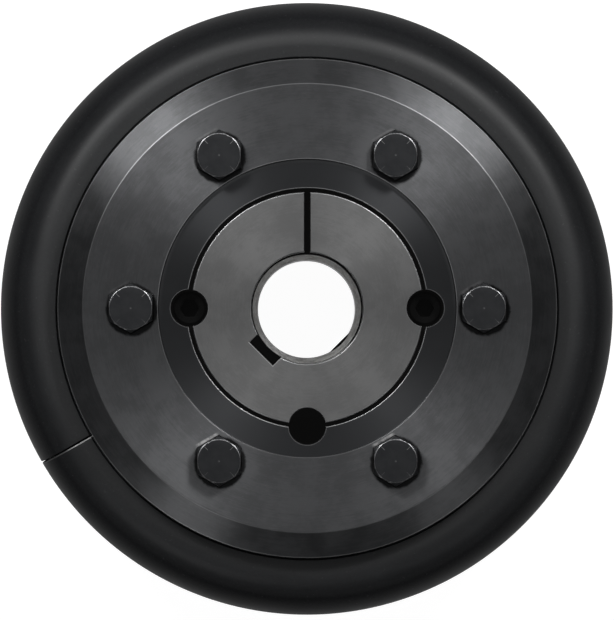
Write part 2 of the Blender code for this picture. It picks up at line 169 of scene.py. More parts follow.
# Flange
HUB_FACE_RISE = (HUB_FACE - 3 * MM, HUB_FACE - 1 * MM)
# Painted light at the foot of the hub's step, in its upper half
HUB_FOOT = (HUB_RADIUS - 1.6 * MM, HUB_RADIUS - 0.3 * MM)
HUB_FOOT_UPPER = (-10 * MM, 20 * MM)
HUB_TOP = (HUB_FACE - 0.5 * MM, HUB_FACE - 0.4 * MM)
HUB_BELOW = (HUB_FACE - 0.5 * MM, HUB_FACE - 0.3 * MM)
HUB_END = (HUB_LOW + 0.3 * MM, HUB_LOW + 0.5 * MM)
OUTER_FACE = (FLANGE_FACE - 0.2 * MM, FLANGE_FACE - 0.1 * MM)
# The hub step's worn edge, painted lighter towards the top as a highlight
STEP_EDGE = (HUB_RADIUS - 0.3 * MM, HUB_RADIUS + 0.35 * MM)
STEP_RISE = (HUB_FACE + 0.3 * MM, HUB_FACE + 0.7 * MM)
STEP_UPPER = (-25 * MM, 15 * MM)
RIM_EDGE = (FLANGE_RADIUS - 0.4 * MM, FLANGE_RADIUS - 0.3 * MM)
RIM_RISE = (FLANGE_FACE - BEVEL_DROP - 1 * MM, FLANGE_FACE - BEVEL_DROP)
BEVEL_EDGE = (BEVEL_INNER - 0.15 * MM, BEVEL_INNER + 0.25 * MM)
LIP_EDGE = 0.35 * MM
CUP_EDGE = 0.3 * MM
# The rear bore's chamfer, painted light and glowing
CHAMFER_REACH = (REAR_BORE + REAR_CHAMFER + 0.05 * MM, REAR_BORE + REAR_CHAMFER + 0.15 * MM)
CHAMFER_TOP = (HUB_LOW + REAR_CHAMFER + 0.3 * MM, HUB_LOW + REAR_CHAMFER + 0.6 * MM)

# Painted shadows with a ragged, grimy edge round the bolt heads, shifted down and to the right, and painted
# glare at the upper left of each
BOLT_SHADOW = (9.2 * MM, 10.3 * MM)
BOLT_SHADOW_SHIFT = (0.3 * MM, -0.7 * MM, 0)
BOLT_SHADOW_RAGGED = 1.6 * MM
# Painted glare beside each bolt head's upper-left flat
BOLT_GLARE = (8.6 * MM, 9.6 * MM)
BOLT_GLARE_ANGLE = math.radians(120)
BOLT_GLARE_SOFT = 0.35 * MM
BOLT_GLARE_SIDE = (3.2 * MM, 5.2 * MM)
BOLT_GLARE_LOWER = (-50 * MM, 0)

# Bush
AHEAD = (0, 1 * MM)
# Where the painted shade, black, lies on the bush: keyway, split, outer side and upper bore wall
SLOT_BLACK = (0.02 * MM, 0.08 * MM)
OUTSIDE_BORE = (FRONT_BORE + 0.05 * MM, FRONT_BORE + 0.2 * MM)
BUSH_SIDE = (BUSH_RADIUS - 0.12 * MM, BUSH_RADIUS - 0.04 * MM)
BORE_WALL = (FRONT_BORE + 0.05 * MM, FRONT_BORE + MASK_STEP)
BORE_DEEP = (44 * MM, 47 * MM)
BORE_UPPER = (-19 * MM, -13 * MM)
BUSH_BELOW = (BUSH_FACE - 0.2 * MM, BUSH_FACE - 0.1 * MM)
BUSH_TOP = (BUSH_FACE - 0.4 * MM, BUSH_FACE - 0.3 * MM)
BUSH_RIM_EDGE = (BUSH_RADIUS - 0.5 * MM, BUSH_RADIUS - 0.05 * MM)
BORE_EDGE = (FRONT_BORE - 0.05 * MM, FRONT_BORE + 0.4 * MM)
HOLE_EDGE = (SCREW_HOLE + 0.05 * MM, SCREW_HOLE + 0.3 * MM)
HOLE_EDGE_SOFT = 0.05 * MM
# Burrs along the keyway's sides, painted light as highlights
BURR_HIGHLIGHT = (0.04 * MM, 0.34 * MM)
BURR_HIGHLIGHT_SOFT = 0.04 * MM
BURR_HIGHLIGHT_END = (0.36 * MM, 0.44 * MM)

# Bolt heads
STROKE_HALF = (0.06 * MM, 0.2 * MM)
STROKE = (5.9 * MM, 7.7 * MM)
STROKE_SOFT = 0.2 * MM
DOT = (0.2 * MM, 0.5 * MM)
MARK_RISE = (6 * MM, 6.2 * MM)
BOLT_RING = (BOLT_TOP_RADIUS - 0.26 * MM, BOLT_TOP_RADIUS + 0.04 * MM)
BOLT_RING_SOFT = 0.05 * MM
BOLT_RIM = (BOLT_TOP_FLATS / 2 - 0.24 * MM, BOLT_TOP_FLATS / 2 - 0.16 * MM)
BOLT_HIGH = (6.1 * MM, 6.2 * MM)
# Where the bolt heads' sides are painted black as shade
BOLT_SIDE = (5.9 * MM, 6.1 * MM)

# Tyre
# Painted highlight along the lower edge of the tyre's cut
CUT_HIGHLIGHT = 0.45 * MM
CUT_HIGHLIGHT_REACH = (100 * MM, 108 * MM)
CUT_HIGHLIGHT_HEIGHT = (5 * MM, 15 * MM)
CUT_HIGHLIGHT_SIDE = (-50 * MM, -40 * MM)
RUBBER_SHEEN = (103.2 * MM, 110.5 * MM)

# How much the turning grooves' pattern changes with height, which draws them on the walls as well
TURNING_LEAN = 0.37

# Relief of the materials, and the width of the bolt heads' softened edges
RUBBER_RELIEF = 0.04 * MM
METAL_RELIEF = 0.004 * MM
BOLT_RELIEF = 0.01 * MM
BOLT_SOFT_EDGE = 0.22 * MM

# Colors
WHITE = (1, 1, 1, 1)
BLACK = (0.003, 0.003, 0.003, 1)
RUBBER_DARK = (0.0112, 0.0118, 0.0128, 1)
RUBBER_LIGHT = (0.0145, 0.0152, 0.0164, 1)
RUBBER_SPECK = (0.05, 0.05, 0.052, 1)
# painted highlight on the tyre's cut
RUBBER_HIGHLIGHT = (0.45, 0.45, 0.45, 1)
FLANGE_TONE = (0.0885, 0.0895, 0.0925, 1)
BUSH_TONE = (0.154, 0.154, 0.154, 1)
RING_TONE = (0.08, 0.08, 0.083, 1)
METAL_SPECK = (0.3, 0.3, 0.3, 1)
HUB_COLOR = (0.040, 0.041, 0.043, 1)
# painted light at the hub step's foot
HUB_FOOT_FILL_LIGHT = (0.11, 0.112, 0.115, 1)
# worn edges, painted light as highlights
EDGE_WEAR_HIGHLIGHT = (0.32, 0.32, 0.325, 1)
EDGE_ROUGHNESS = 0.32
# burrs painted light as highlights
BURR_HIGHLIGHT_COLOR = (0.30, 0.30, 0.30, 1)
# painted glare beside the bolt heads
BOLT_GLARE_COLOR = (0.34, 0.34, 0.34, 1)
# painted light on the rear bore's chamfer
CHAMFER_PAINTED_LIGHT = (0.97, 0.96, 0.94, 1)
BOLT_DARK = (0.030, 0.031, 0.033, 1)
BOLT_LIGHT = (0.037, 0.038, 0.040, 1)
BOLT_MARK = (0.22, 0.22, 0.22, 1)
BOLT_EDGE_COLOR = (0.22, 0.22, 0.225, 1)
# screws painted near black as the shade deep in their holes
SCREW_SHADOW_GRIME = (0.005, 0.005, 0.005, 1)
FLOOR_DARK = (0.22, 0.22, 0.22, 1)
FLOOR_LIGHT = (0.24, 0.24, 0.24, 1)

# Painted glow: the little light that the rear bore's chamfer and the black, shaded gaps give off, though
# they are no lamps
CHAMFER_GLOW = 0.075
BLACK_VEIL = 0.0035

# Floor, camera and light, in metres, degrees and watts
FLOOR_HEIGHT = -57.75 * MM
FLOOR_WHITE = 0.96
FLOOR_MIRRORED = (0.25, 0.7)
STAGE_REACH = 4.2
STAGE_BEND = 0.5
STAGE_BEND_STEPS = 8
STAGE_STEP = 0.4
STAGE_WALL = 1.0
STAGE_SIDES = 96
CAMERA_PLACE = (-8 * MM, -12 * MM, 2149 * MM)
CAMERA_AIM = (-0.1 * MM, -0.7 * MM, 49 * MM)
CAMERA_LENS = 324.3
CAMERA_SENSOR = 36
CAMERA_CLIP = (0.05, 50)
WORLD_COLOR = (0.95, 0.98, 1.0, 1)
WORLD_STRENGTH = 0.085
# Each lamp's name, azimuth, elevation, distance, size and power
LAMPS = (
    ("lamp_right", 51, 50, 1.4, (0.36, 0.30), 8.2),
    ("lamp_left", 131, 50, 1.0, (0.26, 0.22), 3.7),
    ("lamp_top", 90, 60, 2.0, (1.3, 0.9), 2.8),
    ("lamp_over", 90, 88.5, 2.6, (1.2, 1.2), 3.6),
    ("lamp_low_top", 90, 35, 2.0, (1.3, 0.6), 0.8),
    ("lamp_fill_left", 240, 37, 2.0, (0.5, 0.5), 2.6),
    ("lamp_fill_right", 308, 37, 2.0, (0.5, 0.5), 1.2),
)

FRONT = Matrix()
REAR = Matrix.Rotation(math.pi, 4, "Y")
OUTWARDS = (
    Matrix.Translation((0, 0, SET_SCREW_LEVEL)) @ Matrix.Rotation(SET_SCREW_ANGLE, 4, "Z")
    @ Matrix.Rotation(math.pi / 2, 4, "Y")
)

Spot = collections.namedtuple("Spot", "place x y z radius")


# Geometry


def polar(radius, angle, height=0.0):
    return Vector((radius * math.cos(angle), radius * math.sin(angle), height))


def bolt_places():
    return [polar(BOLT_CIRCLE, 2 * math.pi * index / BOLTS) for index in range(BOLTS)]


def rounded(corners, steps=4):
    """A smooth outline from (radius, height, round) corners, closed on itself."""
    points = []
    count = len(corners)
    for index, (x, y, size) in enumerate(corners):
        here = Vector((x, y))
        if size <= 0:
            points.append(here)
            continue
        before = (Vector(corners[index - 1][:2]) - here).normalized()
        after = (Vector(corners[(index + 1) % count][:2]) - here).normalized()
        half = before.angle(after) / 2
        reach = size / math.tan(half)
        centre = here + (before + after).normalized() * size / math.sin(half)
        start = here + before * reach - centre
        end = here + after * reach - centre
        turn = start.angle_signed(end)
        for step in range(steps + 1):
            points.append(centre + Matrix.Rotation(-turn * step / steps, 2) @ start)
    return points


def offset_outline(points, depth):
    """The closed outline with each point moved in by depth, square to its neighbours."""
    count = len(points)
    area = sum(points[i - 1].x * points[i].y - points[i].x * points[i - 1].y for i in range(count))
    side = 1 if area > 0 else -1
    moved = []
    for index, point in enumerate(points):
        along = (points[(index + 1) % count] - points[index - 1]).normalized()
        moved.append(point + Vector((-along.y, along.x)) * side * depth)
    return moved


def new_object(name, shape):
    mesh = bpy.data.meshes.new(name)
    shape.to_mesh(mesh)
    shape.free()
    obj = bpy.data.objects.new(name, mesh)
    bpy.context.scene.collection.objects.link(obj)
    return obj


def loft(shape, columns, wrap):
    """Faces between columns of points, joined to the first column again if wrap is set."""
    rows = [[shape.verts.new(point) for point in column] for column in columns]
    count = len(rows[0])
    for index in range(len(rows) if wrap else len(rows) - 1):
        left, right = rows[index], rows[(index + 1) % len(rows)]
        for step in range(count):
            after = (step + 1) % count
            shape.faces.new((left[step], right[step], right[after], left[after]))
    return rows


def lathe(name, outline, sides=ROUND_SIDES):
    shape = bmesh.new()
    columns = [
        [polar(point.x, 2 * math.pi * side / sides, point.y) for point in outline] for side in range(sides)
    ]
    loft(shape, columns, True)
    bmesh.ops.recalc_face_normals(shape, faces=shape.faces)
    return new_object(name, shape)


def prism(shape, section, low, high, narrow=1.0):
    """A prism along Z from a closed list of (x, y) points, its top scaled by narrow."""
    bottom = [shape.verts.new((x, y, low)) for x, y in section]
    top = [shape.verts.new((x * narrow, y * narrow, high)) for x, y in section]
    count = len(section)
    for index in range(count):
        after = (index + 1) % count
        shape.faces.new((bottom[index], bottom[after], top[after], top[index]))
    shape.faces.new(list(reversed(bottom)))
    shape.faces.new(top)


def spun(shape, outline, sides, place=Matrix()):
    """A solid of revolution about its own Z, from (radius, height) points with both ends on the axis."""
    ends = [shape.verts.new(place @ Vector((0, 0, outline[0][1])))]
    turns = [2 * math.pi * side / sides for side in range(sides)]
    rings = []
    for radius, height in outline[1:-1]:
        rings.append([shape.verts.new(place @ polar(radius, turn, height)) for turn in turns])
    ends.append(shape.verts.new(place @ Vector((0, 0, outline[-1][1]))))
    for side in range(sides):
        after = (side + 1) % sides
        shape.faces.new((ends[0], rings[0][after], rings[0][side]))
        for low, high in zip(rings, rings[1:]):
            shape.faces.new((low[side], low[after], high[after], high[side]))
        shape.faces.new((ends[1], rings[-1][side], rings[-1][after]))


def cut(obj, tools, operation="DIFFERENCE"):
    """Cuts the mesh with each tool, and removes the tools."""
    for tool in tools:
        modifier = obj.modifiers.new("cut", "BOOLEAN")
        modifier.operation = operation
        modifier.solver = "EXACT"
        modifier.object = tool
    bpy.context.view_layer.update()
    done = bpy.data.meshes.new_from_object(obj.evaluated_get(bpy.context.evaluated_depsgraph_get()))
    obj.modifiers.clear()
    old = obj.data
    obj.data = done
    bpy.data.meshes.remove(old)
    for tool in tools:
        bpy.data.objects.remove(tool)


def cutter(build, *args):
    """An object for cut, filled by the function build."""
    shape = bmesh.new()
    build(shape, *args)
    bmesh.ops.recalc_face_normals(shape, faces=shape.faces)
    return new_object("cutter", shape)


def finish_mesh(obj, sharp=35):
    """Smooth faces with hard edges above the sharp angle, and normals weighted by area."""
    mesh = obj.data
    shape = bmesh.new()
    shape.from_mesh(mesh)
    bmesh.ops.remove_doubles(shape, verts=shape.verts, dist=0.002 * MM)
    bmesh.ops.recalc_face_normals(shape, faces=shape.faces)
    for face in shape.faces:
        face.smooth = True
    for edge in shape.edges:
        if len(edge.link_faces) == 2:
            edge.smooth = edge.calc_face_angle(0) < math.radians(sharp)
    shape.to_mesh(mesh)
    shape.free()
    weighted = obj.modifiers.new("normals", "WEIGHTED_NORMAL")
    weighted.keep_sharp = True
    weighted.weight = 60


def chamfered_hole(shape, radius, low, high, chamfer, place, sides=HOLE_SIDES):
    """A round cutter that opens out by the chamfer at the face at height high."""
    outline = [
        (0, low), (radius, low), (radius, high - chamfer), (radius + chamfer, high),
        (radius + chamfer, high + CUT_OVER), (0, high + CUT_OVER),
    ]
    spun(shape, outline, sides, place)


def slot_section(start, end, half_width):
    return [(start, -half_width), (end, -half_width), (end, half_width), (start, half_width)]


def chamfered_slot(shape, start, end, half_width, low, high, chamfer, angle):
    """A slot cutter along the direction of angle, opened out by the chamfer at both faces."""
    place = Matrix.Rotation(angle, 4, "Z")
    levels = [
        (low - CUT_OVER, chamfer), (low, chamfer), (low + chamfer, 0),
        (high - chamfer, 0), (high, chamfer), (high + CUT_OVER, chamfer),
    ]
    rings = []
    for height, grow in levels:
        corners = slot_section(start, end + grow, half_width + grow)
        rings.append([shape.verts.new(place @ Vector((x, y, height))) for x, y in corners])
    for lower, upper in zip(rings, rings[1:]):
        for index in range(4):
            after = (index + 1) % 4
            shape.faces.new((lower[index], lower[after], upper[after], upper[index]))
    shape.faces.new(list(reversed(rings[0])))
    shape.faces.new(rings[-1])


def add_piece(obj, node, material, place=FRONT):
    """Puts a finished piece in place of a CAD node."""
    obj.matrix_world = place
    obj.data.materials.clear()
    obj.data.materials.append(material)
    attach(obj, "root")
    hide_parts(node)


def superellipse(centre, size, start, end, steps, power):
    points = []
    for step in range(steps + 1):
        angle = math.radians(start + (end - start) * step / steps)
        across = math.copysign(abs(math.cos(angle)) ** (2 / power), math.cos(angle))
        up = math.copysign(abs(math.sin(angle)) ** (2 / power), math.sin(angle))
        points.append(Vector((centre[0] + size[0] * across, centre[1] + size[1] * up)))
    return points


def tyre_outline():
    """The tyre's section, from the bead's toe over the crown, with a fine mould line round the middle."""
    bead = [
        Vector((BEAD_TOE, BEAD_TOP)), Vector((BEAD_END, BEAD_TOP)),
        Vector((BEAD_END, GROOVE_BOTTOM)), Vector((GROOVE_RADIUS, GROOVE_BOTTOM)),
    ]
    level = TYRE_CREST - TYRE_SHOULDER
    shoulder = superellipse(
        (GROOVE_RADIUS + TYRE_ROUND, level - TYRE_ROUND), (TYRE_ROUND, TYRE_ROUND), 180, 90, 6, 2,
    )
    shoulder.append(Vector((TYRE_CREST_RADIUS, TYRE_CREST)))
    crown = superellipse((TYRE_CREST_RADIUS, 0), (TYRE_CROWN, TYRE_CREST), 90, 3, 36, TYRE_POWER)[1:]
    outer = bead + shoulder + crown
    tip = TYRE_CREST_RADIUS + TYRE_CROWN
    line_height, line_half = MOULD_LINE
    outer += [Vector((tip, line_half)), Vector((tip + line_height, 0))]
    cavity = superellipse((TYRE_CAVITY_RADIUS, 0), TYRE_CAVITY, 0, 90, 16, 2)
    inner = cavity + [Vector((TYRE_CAVITY_FOOT, BEAD_BOTTOM)), Vector((BEAD_TOE, BEAD_BOTTOM))]

    def mirrored(points):
        return [Vector((p.x, -p.y)) for p in reversed(points)]

    return outer + mirrored(outer)[1:] + mirrored(inner) + inner[1:]


def build_tyre(material):
    """The tyre, cut through once, with the cut's edges slightly rounded."""
    outline = tyre_outline()
    middle = 0.3 * SPLIT_ROUND
    ends = [(0.0, SPLIT_ROUND), (middle, middle), (SPLIT_ROUND, 0.0)]
    shape = bmesh.new()
    columns = []
    spare = math.radians(1.5)
    step = (2 * math.pi - 2 * spare) / TYRE_SIDES

    def end_columns(sign, order):
        for distance, depth in order:
            moved = offset_outline(outline, depth)
            column = []
            for point in moved:
                lean = point.y * TYRE_SPLIT_LEAN
                turn = math.asin((lean + sign * (TYRE_SPLIT / 2 + distance)) / point.x)
                column.append(polar(point.x, TYRE_SPLIT_ANGLE + turn, point.y))
            columns.append(column)

    end_columns(1, ends)
    for side in range(TYRE_SIDES + 1):
        angle = TYRE_SPLIT_ANGLE + spare + step * side
        columns.append([polar(point.x, angle, point.y) for point in outline])
    end_columns(-1, reversed(ends))
    rows = loft(shape, columns, False)
    shape.faces.new(rows[0])
    shape.faces.new(list(reversed(rows[-1])))
    bmesh.ops.recalc_face_normals(shape, faces=shape.faces)
    tyre = new_object("tyre_rubber", shape)
    finish_mesh(tyre, 50)
    add_piece(tyre, "tyre", material)


def taper_bore():
    """The corners of the front hub's bore, from its inner end."""
    taper = math.tan(BUSH_TAPER)
    mouth = BUSH_FACE - MOUTH_DEPTH
    return [
        (BUSH_RADIUS - (BUSH_FACE - HUB_LOW) * taper + FIT_GAP, HUB_LOW, LIP_ROUND),
        (BUSH_RADIUS - MOUTH_DEPTH * taper + FIT_GAP, mouth, FINE_ROUND),
        (MOUTH_RADIUS, mouth, MOUTH_ROUND),
        (MOUTH_RADIUS, HUB_FACE, LIP_ROUND),
    ]


def plain_bore():
    """The corners of the rear hub's bore, from its inner end, which is chamfered wide."""
    return [
        (REAR_BORE + REAR_CHAMFER, HUB_LOW, FINE_ROUND),
        (REAR_BORE, HUB_LOW + REAR_CHAMFER, FINE_ROUND),
        (REAR_BORE, HUB_FACE - REAR_MOUTH, FINE_ROUND),
        (REAR_BORE + REAR_MOUTH, HUB_FACE, FINE_ROUND),
    ]


def flange_outline(bore):
    return rounded([
        (HUB_RADIUS, FLANGE_FACE, FACE_ROUND),
        (BEVEL_INNER, FLANGE_FACE, BEVEL_ROUND),
        (FLANGE_RADIUS, FLANGE_FACE - BEVEL_DROP, RIM_ROUND),
        (FLANGE_RADIUS, LIP_LOW, LIP_ROUND),
        (LIP_RADIUS, LIP_LOW, LIP_ROUND),
        (LIP_RADIUS, BEAD_SEAT, LIP_ROUND),
        (HUB_RADIUS, BEAD_SEAT, ROOT_ROUND),
        (HUB_RADIUS, HUB_LOW, HUB_END_ROUND),
        *bore,
        (HUB_RADIUS, HUB_FACE, FACE_ROUND),
    ])


def screw_hole_cutters(face):
    """The three holes on the line between bush and hub, opened out at the height face."""
    def build(shape):
        for angle in SCREW_HOLES:
            place = Matrix.Translation(polar(SCREW_CIRCLE, angle))
            chamfered_hole(shape, SCREW_HOLE, SCREW_HOLE_LOW, face, FACE_ROUND, place)
    return cutter(build)


def set_screw_hole_cutter():
    """The radial hole of the rear set screw."""
    start, end = SET_SCREW_HOLE_REACH
    outline = [(0, start), (SET_SCREW_HOLE, start), (SET_SCREW_HOLE, end), (0, end)]
    return cutter(spun, outline, HOLE_SIDES, OUTWARDS)


def build_flange(side, seat, bore, screw_holes, material):
    flange = lathe(f"{side}_flange_turned", flange_outline(bore))

    def bolt_holes(shape):
        for centre in bolt_places():
            place = Matrix.Translation(centre)
            chamfered_hole(shape, BOLT_HOLE, BEAD_SEAT - CUT_OVER, FLANGE_FACE, BOLT_HOLE_CHAMFER, place)

    cut(flange, [cutter(bolt_holes), screw_holes])
    finish_mesh(flange)
    add_piece(flange, f"{side}_flange", material, seat)


def bush_outline():
    taper = math.tan(BUSH_TAPER)
    small = BUSH_RADIUS - (BUSH_FACE - BUSH_LOW) * taper
    corners = [(FRONT_BORE, BUSH_FACE), (BUSH_RADIUS, BUSH_FACE), (small, BUSH_LOW), (FRONT_BORE, BUSH_LOW)]
    return rounded([(*corner, BUSH_ROUND) for corner in corners])


def build_bush(material):
    bush = lathe("front_bush_ground", bush_outline())
    cutters = [screw_hole_cutters(BUSH_FACE)]
    slots = (
        (FRONT_BORE + KEYWAY_DEPTH, KEYWAY_WIDTH, KEYWAY_ANGLE),
        (BUSH_RADIUS + CUT_OVER, BUSH_SPLIT, SPLIT_ANGLE),
    )
    for end, width, angle in slots:
        cutters.append(cutter(chamfered_slot, 0, end, width / 2, BUSH_LOW, BUSH_FACE, SLOT_CHAMFER, angle))
    cut(bush, cutters)
    finish_mesh(bush)
    add_piece(bush, "front_bush", material)


def hexagon(width, turn=0.0):
    radius = width / 2 / math.cos(math.pi / 6)
    return [polar(radius, math.radians(60 * index) + turn).xy for index in range(6)]


def head_mesh(material):
    """A hexagon head with rounded corners, turned to a 30 degree chamfer, on a plain shank."""
    corners = [(*point, BOLT_CORNER) for point in hexagon(BOLT_HEAD, math.radians(30))]
    shape = bmesh.new()
    section = [tuple(point) for point in rounded(corners, 3)]
    prism(shape, section, 0, BOLT_HEAD_HEIGHT, BOLT_TOP_FLATS / BOLT_HEAD)
    bmesh.ops.recalc_face_normals(shape, faces=shape.faces)
    head = new_object("bolt_head", shape)
    wide = 14 * MM
    low = -5 * MM
    outline = [
        (0, low),
        (wide, low),
        (wide, BOLT_HEAD_HEIGHT - (wide - BOLT_TOP_RADIUS) * math.tan(BOLT_TOP_SLOPE)),
        (BOLT_TOP_RADIUS + 0.1 * MM, BOLT_HEAD_HEIGHT - 0.16 * MM),
        (BOLT_TOP_RADIUS - 0.12 * MM, BOLT_HEAD_HEIGHT - 0.05 * MM),
        (BOLT_TOP_RADIUS - 0.4 * MM, BOLT_HEAD_HEIGHT),
        (0, BOLT_HEAD_HEIGHT),
    ]
    cut(head, [cutter(spun, outline, HEAD_SIDES)], "INTERSECT")
    shank = [
        (0, -BOLT_LENGTH), (BOLT_RADIUS - SCREW_END, -BOLT_LENGTH), (BOLT_RADIUS, SCREW_END - BOLT_LENGTH),
        (BOLT_RADIUS, BOLT_HEAD_HEIGHT / 2), (0, BOLT_HEAD_HEIGHT / 2),
    ]
    cut(head, [cutter(spun, shank, SHANK_SIDES)], "UNION")
    finish_mesh(head, 24)
    head.data.materials.clear()
    head.data.materials.append(material)
    return head


def socket_screw(name, radius, length, socket_width, cup):
    """A headless screw with a hexagon socket; its tip is hollowed to the depth cup."""
    edge = SCREW_END if cup else FLAT_TIP
    outline = [
        (0, cup), (radius / 2, 0.0), (radius - edge, 0.0), (radius, edge),
        (radius, length - SCREW_END), (radius - SCREW_END, length), (0, length),
    ]
    shape = bmesh.new()
    spun(shape, outline, HOLE_SIDES)
    bmesh.ops.recalc_face_normals(shape, faces=shape.faces)
    screw = new_object(name, shape)

    def socket(target):
        section = [tuple(point) for point in hexagon(socket_width)]
        prism(target, section, length - SOCKET_DEPTH, length + CUT_OVER)

    def mouth(target):
        corner = hexagon(socket_width)[0].x + 0.1 * MM
        deep, over = 0.5 * MM, 1 * MM
        low, high = length - deep, length + over
        spun(target, [(0, low), (corner - deep, low), (corner + over, high), (0, high)], HOLE_SIDES)

    cut(screw, [cutter(socket), cutter(mouth)])
    finish_mesh(screw)
    return screw


def copy_piece(source, name, node, place):
    copy = bpy.data.objects.new(name, source.data)
    bpy.context.scene.collection.objects.link(copy)
    for modifier in source.modifiers:
        twin = copy.modifiers.new(modifier.name, modifier.type)
        twin.keep_sharp = modifier.keep_sharp
        twin.weight = modifier.weight
    copy.matrix_world = place
    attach(copy, "root")
    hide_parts(node)


def build_set_screw(material):
    screw = socket_screw("rear_set_screw_socket", SET_SCREW_RADIUS, SET_SCREW_LENGTH, SET_SCREW_SOCKET, 0.0)
    place = REAR @ OUTWARDS @ Matrix.Translation((0, 0, SET_SCREW_TIP))
    add_piece(screw, "rear_set_screw", material, place)


# Materials


class Graph:
    """Short calls that add and join a material's nodes."""

    def __init__(self, name):
        self.material = bpy.data.materials.new(name)
        self.material.use_nodes = True
        self.tree = self.material.node_tree
        self.shader = self.tree.nodes["Principled BSDF"]

    def put(self, socket, value):
        if isinstance(value, bpy.types.NodeSocket):
            self.tree.links.new(value, socket)
        else:
            socket.default_value = value

    def add(self, kind, inputs=(), **settings):
        node = self.tree.nodes.new(kind)
        for key, value in settings.items():
            setattr(node, key, value)
        for key, value in dict(inputs).items():
            self.put(node.inputs[key], value)
        return node

    def set(self, name, value):
        self.put(self.shader.inputs[name], value)

    def math(self, operation, *values, clamp=False):
        node = self.add("ShaderNodeMath", operation=operation, use_clamp=clamp)
        for socket, value in zip(node.inputs, values):
            self.put(socket, value)
        return node.outputs[0]

    def chain(self, operation, values):
        total = values[0]
        for value in values[1:]:
            total = self.math(operation, total, value)
        return total

    def times(self, *values):
        return self.chain("MULTIPLY", values)

    def plus(self, *values):
        return self.chain("ADD", values)

    def most(self, *values):
        return self.chain("MAXIMUM", values)

    def minus(self, first, second):
        return self.math("SUBTRACT", first, second)

    def size(self, value):
        return self.math("ABSOLUTE", value)

    def ramp(self, value, low, high, to_low=0.0, to_high=1.0):
        """A smooth step from low to high."""
        node = self.add("ShaderNodeMapRange", interpolation_type="SMOOTHSTEP")
        names = ("Value", "From Min", "From Max", "To Min", "To Max")
        for name, setting in zip(names, (value, low, high, to_low, to_high)):
            self.put(node.inputs[name], setting)
        return node.outputs[0]

    def fall(self, value, low, high):
        """1 up to low and 0 from high."""
        return self.ramp(value, low, high, 1.0, 0.0)

    def band(self, value, low, high, soft=MASK_SOFT):
        """1 between low and high, with soft ends."""
        rise = self.ramp(value, low - soft, low + soft)
        return self.times(rise, self.fall(value, high - soft, high + soft))

    def blend(self, factor, first, second):
        """first where factor is 0 and second where it is 1."""
        node = self.add("ShaderNodeMix", {0: factor, 2: first, 3: second}, data_type="FLOAT")
        return node.outputs[0]

    def mix(self, factor, first, second):
        """The color first where factor is 0 and the color second where it is 1."""
        node = self.add("ShaderNodeMix", data_type="RGBA")
        for index, value in ((0, factor), (6, first), (7, second)):
            self.put(node.inputs[index], value)
        return node.outputs[2]

    def scale_color(self, color, factor):
        node = self.add("ShaderNodeMix", data_type="RGBA", blend_type="MULTIPLY")
        gray = self.add("ShaderNodeCombineColor", {0: factor, 1: factor, 2: factor})
        for index, value in ((0, 1.0), (6, color), (7, gray.outputs[0])):
            self.put(node.inputs[index], value)
        return node.outputs[2]

    def noise(self, vector, scale, detail=2.0, roughness=0.5):
        names = {"Vector": vector, "Scale": scale, "Detail": detail, "Roughness": roughness}
        return self.add("ShaderNodeTexNoise", names).outputs[0]

    def bump(self, height, distance, strength, normal=None):
        node = self.add("ShaderNodeBump", {"Height": height, "Distance": distance, "Strength": strength})
        if normal is not None:
            self.put(node.inputs["Normal"], normal)
        return node.outputs[0]

    def parts(self, vector):
        return self.add("ShaderNodeSeparateXYZ", {0: vector}).outputs[:3]

    def reach(self, x, y, centre=Vector((0, 0))):
        """The distance of (x, y) from the centre."""
        across, along = self.minus(x, centre.x), self.minus(y, centre.y)
        return self.math("SQRT", self.plus(self.times(across, across), self.times(along, along)))

    def facing(self, x, y, angle):
        """(x, y) measured along the direction of angle, and to its left."""
        cos, sin = math.cos(angle), math.sin(angle)
        along = self.plus(self.times(x, cos), self.times(y, sin))
        return along, self.minus(self.times(y, cos), self.times(x, sin))

    def spot(self):
        """Where a point lies on its piece."""
        place = self.add("ShaderNodeTexCoord").outputs["Object"]
        x, y, z = self.parts(place)
        return Spot(place, x, y, z, self.reach(x, y))

    def turning(self, spot, turns, pitch):
        """A place for noise along the turning direction: turns round the circle, pitch across it."""
        safe = self.math("MAXIMUM", spot.radius, 0.5 * MM)
        reach = self.plus(spot.radius, self.times(spot.z, TURNING_LEAN))
        across = self.math("DIVIDE", spot.x, safe)
        along = self.math("DIVIDE", spot.y, safe)
        parts = {0: self.times(across, turns), 1: self.times(along, turns), 2: self.times(reach, pitch)}
        return self.add("ShaderNodeCombineXYZ", parts).outputs[0]


def cut_highlight(graph, spot):
    """The painted highlight on the lower side of the tyre's cut, on the front and beside the flange."""
    across = graph.facing(spot.x, spot.y, TYRE_SPLIT_ANGLE)[1]
    across = graph.minus(across, graph.times(spot.z, TYRE_SPLIT_LEAN))
    edge = graph.band(across, TYRE_SPLIT / 2, TYRE_SPLIT / 2 + CUT_HIGHLIGHT)
    return graph.times(
        edge, graph.ramp(spot.radius, *CUT_HIGHLIGHT_REACH, 1.0, 0.15), graph.ramp(spot.z, *CUT_HIGHLIGHT_HEIGHT),
        graph.fall(spot.x, *CUT_HIGHLIGHT_SIDE),
    )


